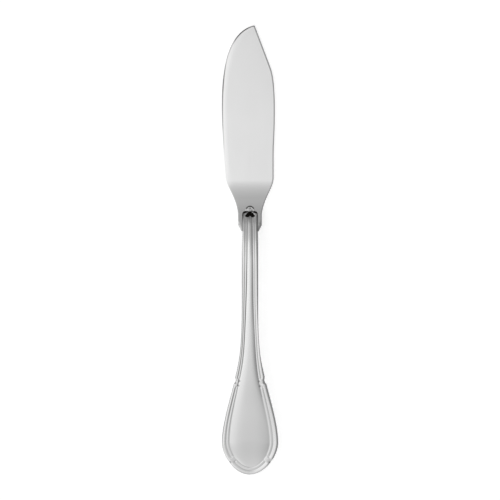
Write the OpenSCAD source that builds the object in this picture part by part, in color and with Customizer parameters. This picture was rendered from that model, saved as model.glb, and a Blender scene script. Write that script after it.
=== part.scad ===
// Fish knife with a cranked blade and a hollow handle of two struck shells.
// The blade points along +Y, the handle's axis is x = 0 and the blade's back lies on z = 0.

/* [Blade] */
// Length of the blade from its root shoulder to its point
blade_l = 91.8; // [84:0.1:100]
// Reach of the cutting edge from the handle's axis
edge_reach = 12.55; // [10:0.05:15]
// Reach of the back of the blade from the handle's axis
back_reach = 11.25; // [9:0.05:13.5]
// Distance of the point from the handle's axis
point_offset = 1.6; // [0:0.1:3]
// Width of the blunt end of the point
point_w = 1; // [0.4:0.1:1.6]
// Thickness of the blade
blade_t = 1.5; // [1.2:0.1:1.8]
// Width of the bevel along the cutting edge
bevel_w = 1.8; // [1:0.1:3]
// Thickness left at the cutting edge
edge_t = 0.7; // [0.4:0.1:1]

/* [Root and tang] */
// Width of the root, which shows on both sides of the neck
root_w = 10.5; // [9:0.1:12]
// Thickness of the root
root_t = 1.6; // [1.3:0.1:1.8]
// Length of the chamfer on each lower corner of the root
root_chamfer_l = 2.8; // [1:0.1:4]
// Width of that chamfer
root_chamfer_w = 1.5; // [0.5:0.1:2]
// Length of the tang inside the handle
tang_l = 42; // [25:1:55]
// Width of the tang where it leaves the root
tang_w = 3; // [2:0.1:3.4]
// Width of the tang at its end
tang_end_w = 2.2; // [1.5:0.1:2.8]
// Thickness of the tang
tang_t = 1.1; // [0.8:0.1:1.2]

/* [Crank] */
// Slope of the root in degrees
root_slope = 10; // [9:0.25:11]
// Length of the slope that shows ahead of the handle
ramp_over = 3.3; // [2:0.1:6]
// Length of the bend between the blade and the slope
bend_l = 9; // [6:0.5:11]
// Length of the bend between the slope and the top of the arch
neck_bend_l = 15; // [12:0.5:20]
// Height of the handle's end above the surface that the blade lies on
end_lift = 0.6; // [0.4:0.05:1]

/* [Handle] */
// Length of the handle from its end to the tip of its tongue
handle_l = 119.5; // [108:0.5:130]
// Length of the handle that laps over the root
lap_l = 11.3; // [10:0.1:13]
// Width of the neck
neck_w = 7.1; // [6.6:0.1:9]
// Width of the handle at its widest
end_w = 25.1; // [20:0.1:30]
// Distance from the handle's end to its widest place
belly_l = 14.5; // [12:0.5:18]
// Height of the crest above the seam at the neck
neck_crest_h = 1.8; // [1.75:0.05:2.2]
// Height of the crest above the seam at the widest place
belly_crest_h = 1.6; // [1.5:0.05:2]
// Height of the rim above the seam at the neck
neck_rim_h = 1.75; // [1.6:0.05:1.95]
// Height of the rim above the seam at the handle's end
end_rim_h = 1.1; // [1:0.05:1.3]
// Height of the plain side under the rim at the neck
neck_side_h = 1.35; // [1.25:0.05:1.5]
// Height of the plain side under the rim at the handle's end
end_side_h = 0.75; // [0.5:0.05:0.9]
// Depth of the recess between the rivet's head and the crest
recess_d = 0.28; // [0.1:0.02:0.3]
// Wall of the shells over the hollow
wall = 0.7; // [0.5:0.05:0.75]
// Width of the flange that joins the shells
flange_w = 1.3; // [1:0.05:1.5]

/* [Border] */
// Width of the rim at the neck
neck_rim_w = 1.35; // [1:0.05:1.5]
// Width of the rim at the handle's end
end_rim_w = 2.1; // [1.5:0.05:2.5]
// Width of the thread inside the rim at the neck
neck_thread_w = 0.85; // [0.6:0.05:1]
// Width of the thread inside the rim at the handle's end
end_thread_w = 1.25; // [0.8:0.05:1.6]
// Depth of the grooves beside the thread
groove_d = 0.22; // [0.1:0.02:0.3]
// Distance from the handle's end to the upper pair of ribbon ties
upper_tie_l = 42; // [34:0.5:48]
// Distance from the handle's end to the lower pair of ribbon ties
lower_tie_l = 5.6; // [4:0.2:8]
// Reach of a tie to each side of its middle
tie_reach = 2.2; // [1.6:0.1:3]
// Depth of the nick in the outline at an upper tie
upper_tie_nick = 0.45; // [0.1:0.05:0.6]
// Depth of the nick in the outline at a lower tie
lower_tie_nick = 0.1; // [0.05:0.05:0.3]

/* [Joints] */
// Thickness of the solder between the flanges
seam_t = 0.12; // [0.08:0.01:0.2]
// Thickness of the solder between the root and each shell
root_solder_t = 0.08; // [0.05:0.01:0.12]
// Distance that the solder stays back from the outline
solder_setback = 0.12; // [0.05:0.01:0.3]
// Radius of the tongue that the rivet passes through
tongue_r = 2; // [1.9:0.05:2.3]
// Thickness of the tongue
tongue_t = 0.35; // [0.3:0.05:0.4]
// Radius of the rivet's shank
rivet_r = 0.6; // [0.5:0.05:0.7]
// Radius of the rivet's domed head
head_r = 1.1; // [0.9:0.05:1.3]
// Height of the rivet's domed head
head_h = 0.5; // [0.4:0.05:0.6]
// Height of the rivet's low tail on the back
tail_h = 0.25; // [0.15:0.05:0.3]
// Radius of the round seat that is cut into the neck behind the rivet's head
seat_r = 1.8; // [1.6:0.05:1.9]

/* [Hidden] */
$fn = 48;

// Clearances and the overrun of cuts
fit_gap = 0.01;
fill_gap = 0.05;
bore_gap = 0.02;
shoulder_gap = 0.05;
overrun = 5;

// Places along the length
overall_l = blade_l + handle_l - lap_l;
point_y = overall_l / 2;
end_y = -overall_l / 2;
tongue_y = end_y + handle_l;
shoulder_y = tongue_y - lap_l;
rivet_y = tongue_y - tongue_r;
belly_y = end_y + belly_l;
tang_y = shoulder_y - tang_l;
tie_ys = [end_y + upper_tie_l, end_y + lower_tie_l];
tie_nicks = [upper_tie_nick, lower_tie_nick];

// Half widths
neck_half = neck_w / 2;
end_half = end_w / 2;
root_half = root_w / 2;

// Curves of the outlines as shares, each row across and along
// Cutting edge and back: across from the root's side to the reach, along from the shoulder to the point
edge_shares = [[0.8, 0.958], [1, 0.76], [1, 0.608],
               [1, 0.488], [0.886, 0.357], [0.77, 0.261],
               [0.696, 0.2], [0.165, 0.181], [0, 0.085]];
back_shares = [[-0.108, 0.927], [0.4, 0.841], [0.675, 0.791],
               [1.025, 0.728], [1.02, 0.564], [0.89, 0.412],
               [0.875, 0.36], [0.88, 0.31], [0.88, 0.259],
               [0.862, 0.213], [0.162, 0.163], [0, 0.085]];
// Round top of the neck: across of the neck's half width, along of the rounding
top_shares = [[0.085, 0], [0.62, 0], [0.915, 0.17], [0.93, 1]];
// Side of the handle: across from the neck to the widest place, along from the rounding to it
side_shares = [[0.05, 0.183], [-0.05, 0.463], [0.106, 0.589],
               [0.239, 0.729], [0.972, 0.875], [1, 1]];
// Round end of the handle: across of the half width, along of the distance to the end
end_shares = [[1, 0.414], [0.558, 1], [0, 1]];
end_stop_share = 0.985;

// Steps along each curve
edge_steps = 16;
top_steps = 6;
neck_steps = 10;
flare_steps = 22;
end_steps = 15;

// The neck's top lies behind the tongue's tip, and its rounding is as long as most of its half width
neck_top_share = 1.2;
neck_top_y = tongue_y - neck_top_share * tongue_r;
rounding_share = 0.82;
round_y = neck_top_y - rounding_share * neck_half;

function mix(a, b, share) = a + (b - a) * share;
function clamp_share(v) = max(0, min(1, v));
function ease(v) = let (c = clamp_share(v)) c * c * (3 - 2 * c);
function dome(s) = 1 - (1 - s) * (1 - s);

function bezier(p, t) =
    pow(1 - t, 3) * p[0] + 3 * pow(1 - t, 2) * t * p[1] + 3 * (1 - t) * t * t * p[2] + pow(t, 3) * p[3];

// Points of curves that follow each other, with the steps of each and without the last point
function chain(p, steps) = [
    for (k = [0 : len(steps) - 1])
        for (i = [0 : steps[k] - 1])
            bezier([p[3 * k], p[3 * k + 1], p[3 * k + 2], p[3 * k + 3]], i / steps[k])
];

// Side view: the middle surface runs flat under the blade, up the root's slope and over the arch
slope = tan(root_slope);
ramp_y = tongue_y + ramp_over;
bend_y = ramp_y + bend_l;
crown_y = shoulder_y - neck_bend_l;
blade_z = blade_t / 2;
ramp_z = blade_z + slope * bend_l / 2;
crown_z = ramp_z + slope * (ramp_y - shoulder_y) + slope * neck_bend_l / 2;
function mid_z(y) =
    y >= bend_y ? blade_z
    : y >= ramp_y ? blade_z + slope * pow(bend_y - y, 2) / (2 * bend_l)
    : y >= shoulder_y ? ramp_z + slope * (ramp_y - y)
    : y >= crown_y ? crown_z - slope * pow(y - crown_y, 2) / (2 * neck_bend_l)
    : mix(crown_z, end_rim_h + end_lift, pow((crown_y - y) / (crown_y - end_y), 2));

// Half heights on the slope, measured upright
upright = 1 / cos(root_slope);
root_half_h = upright * root_t / 2;
seat_half_h = upright * (root_t / 2 + root_solder_t);

// Moves a shape to the rivet, square to the slope
module at_rivet() {
    translate([0, rivet_y, mid_z(rivet_y)]) rotate([-root_slope, 0, 0]) children();
}

// A shape drawn from the side, as wide as w, and one drawn from above
module side_prism(points, w) {
    rotate([90, 0, 90]) linear_extrude(w, center = true) polygon(points);
}
module plan_prism(points) {
    translate([0, 0, -overrun]) linear_extrude(crown_z + 2 * overrun) polygon(points);
}

// Blade
function edge_at(s) = [-mix(root_half, edge_reach, s[0]), shoulder_y + s[1] * blade_l];
function back_at(s) = [mix(root_half, back_reach, s[0]), shoulder_y + s[1] * blade_l];
edge_controls = concat([[point_offset - point_w / 2, point_y]], [for (s = edge_shares) edge_at(s)]);
back_controls = concat([[point_offset + point_w / 2, point_y]], [for (s = back_shares) back_at(s)]);
edge_line = chain(edge_controls, [edge_steps, edge_steps, edge_steps]);
back_line = chain(back_controls, [edge_steps / 2, edge_steps, 1, edge_steps]);
shoulder_x = root_half - root_chamfer_w;

function turned(points) = [for (i = [len(points) - 1 : -1 : 0]) points[i]];
function across(points) = [for (p = points) [-p[0], p[1]]];

function tang_side(gap) = [
    [tang_w / 2 + gap, shoulder_y],
    [tang_end_w / 2 + gap, tang_y - gap]
];
root_side = [[root_half, shoulder_y + root_chamfer_l], [shoulder_x, shoulder_y]];
blade_outline = concat(
    edge_line, across(root_side), across(tang_side(0)),
    turned(tang_side(0)), turned(root_side), turned(back_line)
);

// Upright half thickness of the blade and its root
function plate_half(y) = mix(root_half_h, blade_z, clamp_share((y - ramp_y) / bend_l));
bend_steps = 8;
tang_steps = 14;
plate_ys = concat([point_y + overrun], [for (i = [0 : bend_steps]) mix(bend_y, ramp_y, i / bend_steps)], [shoulder_y]);
function tang_ys(gap) = [for (i = [0 : tang_steps]) mix(shoulder_y, tang_y - gap, i / tang_steps)];
function band(ys, half) = concat(
    [for (y = ys) [y, mid_z(y) + half]],
    turned([for (y = ys) [y, mid_z(y) - half]])
);
plate_profile = concat(
    [for (y = plate_ys) [y, mid_z(y) + plate_half(y)]],
    turned([for (y = plate_ys) [y, mid_z(y) - plate_half(y)]])
);

module tang(gap) {
    intersection() {
        plan_prism(concat(across(tang_side(gap)), turned(tang_side(gap))));
        side_prism(band(tang_ys(gap), tang_t / 2 + gap), neck_w);
    }
}

// The wedge that one face of the bevel removes, swept along the cutting edge
bevel_first = 4;
bevel_last = 2 * edge_steps + edge_steps / 2;
bevel_drop = (blade_t - edge_t) / 2;
function bevel_fade(i) = sin(180 * (i - bevel_first) / (bevel_last - bevel_first));
function edge_inward(i) =
    let (d = edge_line[i + 1] - edge_line[i]) [-d[1], d[0]] / norm(d);
bevel_start_share = 0.1;
function bevel_width(i) = bevel_w * mix(bevel_start_share, 1, pow(bevel_fade(i), 1 / 2));
function bevel_ring(i) =
    let (w = bevel_width(i), middle = (edge_line[i] + edge_line[i + 1]) / 2,
         inner = middle + w * edge_inward(i), outer = middle - w * edge_inward(i),
         drop = 2 * bevel_drop * w / bevel_w)
    [[inner[0], inner[1], 0], [outer[0], outer[1], -drop], [outer[0], outer[1], overrun]];
module bevel_cut() {
    rings = [for (i = [bevel_first : bevel_last]) bevel_ring(i)];
    tube(rings);
}

// A closed solid swept through rings of equal length, with flat ends
module tube(rings) {
    n = len(rings[0]);
    m = len(rings);
    polyhedron(
        [for (r = rings) each r],
        concat(
            [for (i = [0 : m - 2]) for (j = [0 : n - 1]) each quad(i, j, n)],
            [[for (j = [n - 1 : -1 : 0]) j]],
            [[for (j = [0 : n - 1]) (m - 1) * n + j]]
        )
    );
}
function quad(i, j, n) =
    let (a = i * n + j, b = i * n + (j + 1) % n, c = (i + 1) * n + (j + 1) % n, d = (i + 1) * n + j)
    [[a, b, c], [a, c, d]];

module blade() {
    color("gainsboro") difference() {
        union() {
            intersection() {
                plan_prism(blade_outline);
                side_prism(plate_profile, 2 * max(edge_reach, back_reach) + overrun);
            }
            tang(0);
        }
        translate([0, 0, blade_t]) bevel_cut();
        mirror([0, 0, 1]) bevel_cut();
        at_rivet() cylinder(r = rivet_r + bore_gap, h = 2 * overrun, center = true);
    }
}

// Handle outline: right half from the neck's top to the end
top_controls = [for (s = top_shares) [s[0] * neck_half, mix(neck_top_y, round_y, s[1])]];
side_controls = [for (s = side_shares) [mix(neck_half, end_half, s[0]), mix(round_y, belly_y, s[1])]];
end_controls = [for (s = end_shares) [s[0] * end_half, mix(belly_y, end_y, s[1])]];
smooth_line = concat(
    chain(top_controls, [top_steps]),
    chain(concat([top_controls[3]], side_controls), [neck_steps, flare_steps]),
    [for (i = [0 : end_steps - 1])
        bezier(concat([side_controls[5]], end_controls), end_stop_share * i / (end_steps - 1))]
);
last = len(smooth_line) - 1;
function line_at(i) =
    i < 0 ? across(smooth_line)[0] : i > last ? across(smooth_line)[last] : smooth_line[i];
function inward(i) = let (d = line_at(i + 1) - line_at(i - 1)) [d[1], -d[0]] / norm(d);
function tent(y, k) = max(0, 1 - abs(y - tie_ys[k]) / tie_reach);
function tie(y) = max([for (k = [0 : len(tie_ys) - 1]) tent(y, k)]);
function nick(y) = max([for (k = [0 : len(tie_ys) - 1]) tie_nicks[k] * tent(y, k)]);
function place(i, inset) = smooth_line[i] + (inset + nick(smooth_line[i][1])) * inward(i);

// Sizes of the border and heights of the section along the handle
flare_share = 0.5;
flare_y = mix(round_y, belly_y, flare_share);
top_border_share = 0.5;
function toward_end(y) = ease((flare_y - y) / (flare_y - belly_y));
function top_taper(y) = mix(top_border_share, 1, ease((neck_top_y - y) / neck_w));
function rim_w(y) = mix(neck_rim_w, end_rim_w, toward_end(y)) * top_taper(y);
function thread_w(y) = mix(neck_thread_w, end_thread_w, toward_end(y)) * top_taper(y);
function border_w(y) = rim_w(y) + thread_w(y);
function side_h(y) = mix(neck_side_h, end_side_h, toward_end(y));
function rim_h(y) = mix(neck_rim_h, end_rim_h, toward_end(y));
function floor_h(y) = rim_h(y) - groove_d;
function groove_h(y) = floor_h(y) + groove_d * tie(y);
function crest_h(y) = mix(neck_crest_h, belly_crest_h, toward_end(y));

// The crest fades out at both ends of the field, and behind the rivet's head the field is sunk
field_end_y = end_y + end_rim_w + end_thread_w;
field_top_y = neck_top_y - top_border_share * (neck_rim_w + neck_thread_w);
function end_fade(y) = 1 - pow(clamp_share((belly_y - y) / (belly_y - field_end_y)), 2);
function top_fade(y) = ease((field_top_y - y) / neck_half);
recess_share = 0.5;
function top_sink(y) = 1 - ease((field_top_y - y) / (recess_share * neck_half));
function crest_rise(y) = (crest_h(y) - floor_h(y)) * end_fade(y) * top_fade(y);
function field_h(y, s) = floor_h(y) + (crest_rise(y) - recess_d * top_sink(y)) * dome(s);

// A point of the section from an inset point toward the axis, bowed away from the handle's ends
bow_share = 0.25;
function toward_axis(i, p, s) = [p[0] * (1 - s), p[1] + bow_share * flange_w * inward(i)[1] * dome(s)];

// Half of the outer section as [place, height above the seam], from the side's foot to the field
rim_crest_shares = [0.25, 0.7];
field_shares = [1 / 3, 2 / 3];
function outer_half(i) =
    let (y = smooth_line[i][1], f = place(i, border_w(y)))
    concat(
        [[place(i, 0), seam_t / 2], [place(i, 0), side_h(y)]],
        [for (s = rim_crest_shares) [place(i, s * rim_w(y)), rim_h(y)]],
        [[place(i, rim_w(y)), groove_h(y)],
         [place(i, rim_w(y) + thread_w(y) / 2), rim_h(y)],
         [f, groove_h(y)]],
        [for (s = field_shares) [toward_axis(i, f, s), field_h(f[1], s)]]
    );
function outer_middle(i) =
    let (f = place(i, border_w(smooth_line[i][1]))) [toward_axis(i, f, 1), field_h(f[1], 1)];

// Half of the hollow's section, from the flange to the middle
hollow_lead_share = 0.3;
hollow_top_y = shoulder_y + hollow_lead_share * lap_l;
hollow_end_y = end_y + 2 * end_rim_w;
hollow_shares = [0.15, 0.5];
function hollow_fade(y) =
    ease((hollow_top_y - y) / (hollow_top_y - shoulder_y)) * ease((y - hollow_end_y) / belly_l);
function ceiling_h(i, p) =
    let (y = smooth_line[i][1], f = place(i, border_w(y)), s = clamp_share(1 - p[0] / f[0]))
    seam_t / 2 + hollow_fade(p[1]) * max(0, field_h(p[1], s) - wall - seam_t / 2);
function hollow_half(i, gap) =
    let (g = place(i, flange_w + gap))
    concat(
        [[g, seam_t / 2]],
        [for (s = hollow_shares) let (p = toward_axis(i, g, s)) [p, ceiling_h(i, p) - gap]]
    );
function hollow_middle(i, gap) =
    let (p = toward_axis(i, place(i, flange_w + gap), 1)) [p, ceiling_h(i, p) - gap];

// Points in space on the front or the rear side of the middle surface
function lift(p, side) = [p[0][0], p[0][1], mid_z(p[0][1]) + side * p[1]];
function lift_left(p, side) = [-p[0][0], p[0][1], mid_z(p[0][1]) + side * p[1]];
function arch(half, middle, side) = concat(
    [for (p = half) lift_left(p, side)], [lift(middle, side)], turned([for (p = half) lift(p, side)])
);

// One ring of a shell: the outer section from left to right, then the hollow from right to left
outer_n = len(outer_half(0));
hollow_n = len(hollow_half(0, 0));
ring_n = 2 * (outer_n + hollow_n) + 2;
function shell_ring(i, side) = concat(
    arch(outer_half(i), outer_middle(i), side),
    turned(arch(hollow_half(i, 0), hollow_middle(i, 0), side))
);

// The ends of a shell are closed between mirrored pairs of its ring
function pair(j) = [j, 2 * outer_n - j];
function hollow_pair(j) = [ring_n - 1 - j, 2 * outer_n + 1 + j];
function between(a, b) = [[a[0], b[1], b[0]], [a[0], a[1], b[1]]];
end_cap = concat(
    [for (j = [0 : outer_n - 2]) each between(pair(j), pair(j + 1))],
    [[outer_n + 1, outer_n, outer_n - 1]],
    between(hollow_pair(0), pair(0)),
    [for (j = [0 : hollow_n - 2]) each between(hollow_pair(j + 1), hollow_pair(j))],
    [[2 * outer_n + hollow_n + 2, 2 * outer_n + hollow_n + 1, 2 * outer_n + hollow_n]]
);
function flipped(faces) = [for (f = faces) turned(f)];
function shifted(faces, by) = [for (f = faces) [for (v = f) v + by]];
shell_faces = concat(
    [for (i = [0 : last - 1]) for (j = [0 : ring_n - 1]) each quad(i, j, ring_n)],
    end_cap,
    shifted(flipped(end_cap), last * ring_n)
);

module shell(side) {
    difference() {
        union() {
            polyhedron(
                [for (i = [0 : last]) each shell_ring(i, side)],
                side > 0 ? shell_faces : flipped(shell_faces)
            );
            tongue(side);
        }
        root_slot();
        at_rivet() {
            cylinder(r = rivet_r + bore_gap, h = 2 * overrun, center = true);
            head_seat(side);
        }
    }
}

tongue_h = root_t / 2 + root_solder_t + tongue_t;
module tongue(side) {
    at_rivet() scale([1, 1, side]) cylinder(r = tongue_r, h = tongue_h);
}
module head_seat(side) {
    scale([1, 1, side]) translate([0, 0, tongue_h]) cylinder(r = seat_r, h = overrun);
}
slot_ys = [tongue_y + overrun, shoulder_y - shoulder_gap];
function slot_z(y) = ramp_z + slope * (ramp_y - y);
module root_slot() {
    side_prism(
        concat(
            [for (y = slot_ys) [y, slot_z(y) + seat_half_h]],
            turned([for (y = slot_ys) [y, slot_z(y) - seat_half_h]])
        ),
        root_w + overrun
    );
}

module front_handle_shell() {
    color("silver") shell(1);
}
module rear_handle_shell() {
    color("silver") shell(-1);
}

// Cement that fills the hollow round the tang
fill_first = top_steps + 1;
fill_last = last - 3;
function fill_ring(i) = concat(
    arch(hollow_half(i, fill_gap), hollow_middle(i, fill_gap), 1),
    turned(arch(hollow_half(i, fill_gap), hollow_middle(i, fill_gap), -1))
);
module handle_filler() {
    color("dimgray") difference() {
        tube([for (i = [fill_first : fill_last]) fill_ring(i)]);
        tang(fill_gap);
        root_slot();
    }
}

// Solder between the flanges, from one side of the slot round the end to the other
seam_first = top_steps + 1;
function seam_ring(i, sign) =
    let (a = place(i, solder_setback), b = place(i, flange_w), h = seam_t / 2 - fit_gap)
    [for (p = [[a, h], [a, -h], [b, -h], [b, h]]) sign > 0 ? lift(p, 1) : lift_left(p, 1)];
module seam_solder() {
    color("darkgray") difference() {
        tube(concat(
            [for (i = [seam_first : last]) seam_ring(i, 1)],
            [for (i = [last : -1 : seam_first]) seam_ring(i, -1)]
        ));
        root_slot();
    }
}

// Solder between the root and the shells, under the lap and the tongue
lap_line = [for (i = [0 : top_steps + 1]) place(i, solder_setback)];
module root_solder() {
    ys = [tongue_y, shoulder_y];
    inner = root_half_h + fit_gap;
    outer = seat_half_h - fit_gap;
    color("darkgray") for (side = [-1, 1])
        difference() {
            intersection() {
                side_prism(
                    concat(
                        [for (y = ys) [y, mid_z(y) + side * inner]],
                        turned([for (y = ys) [y, mid_z(y) + side * outer]])
                    ),
                    neck_w
                );
                plan_prism(concat(across(lap_line), turned(lap_line)));
            }
            at_rivet() cylinder(r = rivet_r + bore_gap, h = 2 * overrun, center = true);
        }
}

// Rivet through the tongues and the root, domed in front and peened low behind
module cap(r, h) {
    sphere_r = (r * r + h * h) / (2 * h);
    intersection() {
        translate([0, 0, h - sphere_r]) sphere(r = sphere_r);
        cylinder(r = r, h = h);
    }
}
module boss_rivet() {
    color("silver") at_rivet() {
        cylinder(r = rivet_r, h = 2 * tongue_h, center = true);
        translate([0, 0, tongue_h]) cap(head_r, head_h);
        mirror([0, 0, 1]) translate([0, 0, tongue_h]) cap(head_r, tail_h);
    }
}

blade();
front_handle_shell();
rear_handle_shell();
handle_filler();
seam_solder();
root_solder();
boss_rivet();
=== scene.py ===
# %% [markdown]
# # A fish knife in silver plate
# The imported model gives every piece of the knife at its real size. This lesson dresses it. The blade, the
# two shells of the handle and the rivet are rebuilt as fine meshes on the same sizes, each surface gets its
# finish, and the knife is lit as on a photographer's table. The frame comes first, and its box is kept,
# because the dressed knife has to stay inside it.

import bmesh
import bpy
import numpy as np
from mathutils import Matrix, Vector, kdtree


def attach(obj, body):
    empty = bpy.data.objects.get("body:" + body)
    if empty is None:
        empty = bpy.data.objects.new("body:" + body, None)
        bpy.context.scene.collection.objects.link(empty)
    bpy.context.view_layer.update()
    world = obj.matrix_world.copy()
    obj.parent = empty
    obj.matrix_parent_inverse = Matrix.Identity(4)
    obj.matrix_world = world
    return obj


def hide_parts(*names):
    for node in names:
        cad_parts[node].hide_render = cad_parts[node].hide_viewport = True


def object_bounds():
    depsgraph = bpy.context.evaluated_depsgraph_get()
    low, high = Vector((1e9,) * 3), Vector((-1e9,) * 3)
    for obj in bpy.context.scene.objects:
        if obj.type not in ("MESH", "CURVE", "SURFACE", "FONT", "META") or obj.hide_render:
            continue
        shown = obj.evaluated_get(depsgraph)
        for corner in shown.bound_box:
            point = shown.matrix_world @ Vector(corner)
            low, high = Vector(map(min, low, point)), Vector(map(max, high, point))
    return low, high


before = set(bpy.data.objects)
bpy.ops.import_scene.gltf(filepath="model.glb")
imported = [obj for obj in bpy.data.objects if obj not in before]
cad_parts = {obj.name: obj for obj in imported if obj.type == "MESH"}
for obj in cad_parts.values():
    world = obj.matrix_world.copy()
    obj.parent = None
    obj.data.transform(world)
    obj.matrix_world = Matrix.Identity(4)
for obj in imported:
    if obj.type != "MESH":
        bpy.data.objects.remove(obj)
cad_low, cad_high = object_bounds()
MM = 0.001
print("CAD box in mm:", [round(v / MM, 2) for v in (*cad_low, *cad_high)])

# %% [markdown]
# ## The camera
# The photo looks straight down on the knife with a long lens, so both ends show at the same scale. An
# orthographic camera would do that exactly, but a long lens keeps the small change of angle from the point
# to the handle's end, which shades polished metal as in a real picture. The knife is 200 mm long and
# covers 449.6 of the 500 pixels, which sets the distance.

# %% Camera
image_px = 500
knife_px = 449.6
lens_mm = 200
sensor_mm = 36
middle_height = 3 * MM

knife_l = cad_high.y - cad_low.y
view_w = knife_l * image_px / knife_px
camera_data = bpy.data.cameras.new("camera")
camera_data.lens = lens_mm
camera_data.sensor_width = sensor_mm
camera = bpy.data.objects.new("camera", camera_data)
camera.location = (0, 0, view_w * lens_mm / sensor_mm + middle_height)
bpy.context.scene.collection.objects.link(camera)
bpy.context.scene.camera = camera
print("view is", round(view_w / MM, 1), "mm wide from", round(camera.location.z, 3), "m")

# %% [markdown]
# ## The side view
# The knife is cranked: the blade lies flat, its root slopes up, and the handle runs over a low arch down to
# its end. One height function holds that line for all the pieces, so they meet without fitting. It could be
# a curve object that the pieces follow, but a function can be asked for any point. The bend at the root is
# 1 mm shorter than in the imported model, because the shading in the photo ends there. All lengths are in
# millimetres until the meshes are made.

# %% Height of the middle surface
blade_t = 1.5
root_slope = np.radians(10)
tongue_y = 19.5
lap_l = 11.3
ramp_over = 3.8
bend_l = 8
neck_bend_l = 15
end_rim_h = 1.1
end_lift = 0.6

point_y = cad_high.y / MM
end_y = cad_low.y / MM
slope = np.tan(root_slope)
shoulder_y = tongue_y - lap_l
ramp_y = tongue_y + ramp_over
bend_y = ramp_y + bend_l
crown_y = shoulder_y - neck_bend_l
ramp_z = blade_t / 2 + slope * bend_l / 2
crown_z = ramp_z + slope * (ramp_y - shoulder_y) + slope * neck_bend_l / 2


def mix(a, b, share):
    return a + (b - a) * share


def ease(v):
    """A soft step from zero to one, as v goes from zero to one."""
    c = np.clip(v, 0, 1)
    return c * c * (3 - 2 * c)


def mid_z(y):
    y = np.asarray(y, float)
    return np.select(
        [y >= bend_y, y >= ramp_y, y >= shoulder_y, y >= crown_y],
        [
            blade_t / 2 + 0 * y,
            blade_t / 2 + slope * (bend_y - y) ** 2 / (2 * bend_l),
            ramp_z + slope * (ramp_y - y),
            crown_z - slope * (y - crown_y) ** 2 / (2 * neck_bend_l),
        ],
        mix(crown_z, end_rim_h + end_lift, ((crown_y - y) / (crown_y - end_y)) ** 2),
    )


print("arch is", round(crown_z, 2), "mm high at y", round(crown_y, 1))

# %% [markdown]
# ## Outlines
# The plan view of the blade and of the handle is drawn with a few smooth curves of four points each, as a
# draughtsman would. They could be Blender's own curve objects, but the relief needs two measures at any
# point: how far it lies inside the line, and where along the line its nearest point is. A tree of close
# samples answers both, and a nearest sample with its inward direction gives the inset smoothly.

# %% Curves and measures from them
curve_samples = 900


def bezier_chain(points):
    p = np.asarray(points, float)
    t = np.linspace(0, 1, curve_samples)[:, None]
    u = 1 - t
    curves = [
        u**3 * p[k] + 3 * u**2 * t * p[k + 1] + 3 * u * t**2 * p[k + 2] + t**3 * p[k + 3]
        for k in range(0, len(p) - 1, 3)
    ]
    return np.concatenate([c[:-1] for c in curves[:-1]] + [curves[-1]])


def outline(points, inward_turn):
    """Samples of a line with their inward directions, their lengths along it and a tree to search."""
    step = np.gradient(points, axis=0)
    step /= np.linalg.norm(step, axis=1)[:, None]
    inward = inward_turn * np.column_stack([step[:, 1], -step[:, 0]])
    length = np.concatenate([[0], np.cumsum(np.linalg.norm(np.diff(points, axis=0), axis=1))])
    tree = kdtree.KDTree(len(points))
    for k, (x, y) in enumerate(points):
        tree.insert((x, y, 0), k)
    tree.balance()
    return {"points": points, "inward": inward, "length": length, "tree": tree}


def measure_from(line, x, y):
    """Inset from the line and the nearest sample, for arrays of points."""
    x, y = np.broadcast_arrays(x, y)
    flat = np.column_stack([x.ravel(), y.ravel()])
    near = np.array([line["tree"].find((px, py, 0))[1] for px, py in flat])
    inset = np.sum((flat - line["points"][near]) * line["inward"][near], axis=1)
    return inset.reshape(x.shape), near.reshape(x.shape)


print("each curve has", curve_samples, "samples")

# %% [markdown]
# ## Meshes from rings
# Every rebuilt piece is a row of closed rings along the knife, joined by quads and closed at both ends,
# like a loft. A subdivision surface could round a coarse cage instead, but the grooves of the border are
# only a tenth or two of a millimetre deep, and rings put points exactly on them. Edges that turn by more
# than a crease angle stay sharp, and the rest is shaded smooth. Values stored on the points, such as
# tarnish and painted shade, can then be read by the materials.


# %% Loft
def march(start, stop, places, steps):
    """Places from start down to stop, with a step that is read from a table of places."""
    order = np.argsort(places)
    found = [start]
    while found[-1] > stop:
        found.append(found[-1] - np.interp(found[-1], np.take(places, order), np.take(steps, order)))
    found[-1] = stop
    return np.array(found)


def loft(name, rings, crease, **point_values):
    """A piece from rings of points in mm, sharp where it turns by more than the crease in degrees."""
    rows, count, _ = rings.shape
    index = np.arange(rows * count).reshape(rows, count)
    beside = np.roll(index, -1, axis=1)
    quads = np.stack([index[:-1], beside[:-1], beside[1:], index[1:]], axis=-1).reshape(-1, 4)
    mesh = bpy.data.meshes.new(name)
    ends = [index[0][::-1].tolist(), index[-1].tolist()]
    mesh.from_pydata((rings.reshape(-1, 3) * MM).tolist(), [], quads.tolist() + ends)
    for key, values in point_values.items():
        attribute = mesh.attributes.new(key, "FLOAT", "POINT")
        attribute.data.foreach_set("value", np.asarray(values, np.float32).ravel())
    work = bmesh.new()
    work.from_mesh(mesh)
    bmesh.ops.recalc_face_normals(work, faces=work.faces)
    work.to_mesh(mesh)
    work.free()
    mesh.shade_smooth()
    mesh.set_sharp_from_angle(angle=np.radians(crease))
    piece = bpy.data.objects.new(name, mesh)
    bpy.context.scene.collection.objects.link(piece)
    low, high = rings.reshape(-1, 3).min(axis=0), rings.reshape(-1, 3).max(axis=0)
    print(name, len(mesh.vertices), "points,", np.round(low, 2), "to", np.round(high, 2), "mm")
    return piece


# %% [markdown]
# ## The handle's border
# The handle is struck in two shells. A rim and a finer thread run round each, and two pairs of ribbon ties
# cross them: an upper pair where the handle widens, and a lower pair at its round end. The outline is
# pinched a little at each tie, as a ribbon would draw a bundle of reeds together. A bevelled curve could
# carry the border, but its width changes along the handle and is greater on the right. So each side has a
# short table of widths, which is blurred so that it has no corners.

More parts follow.
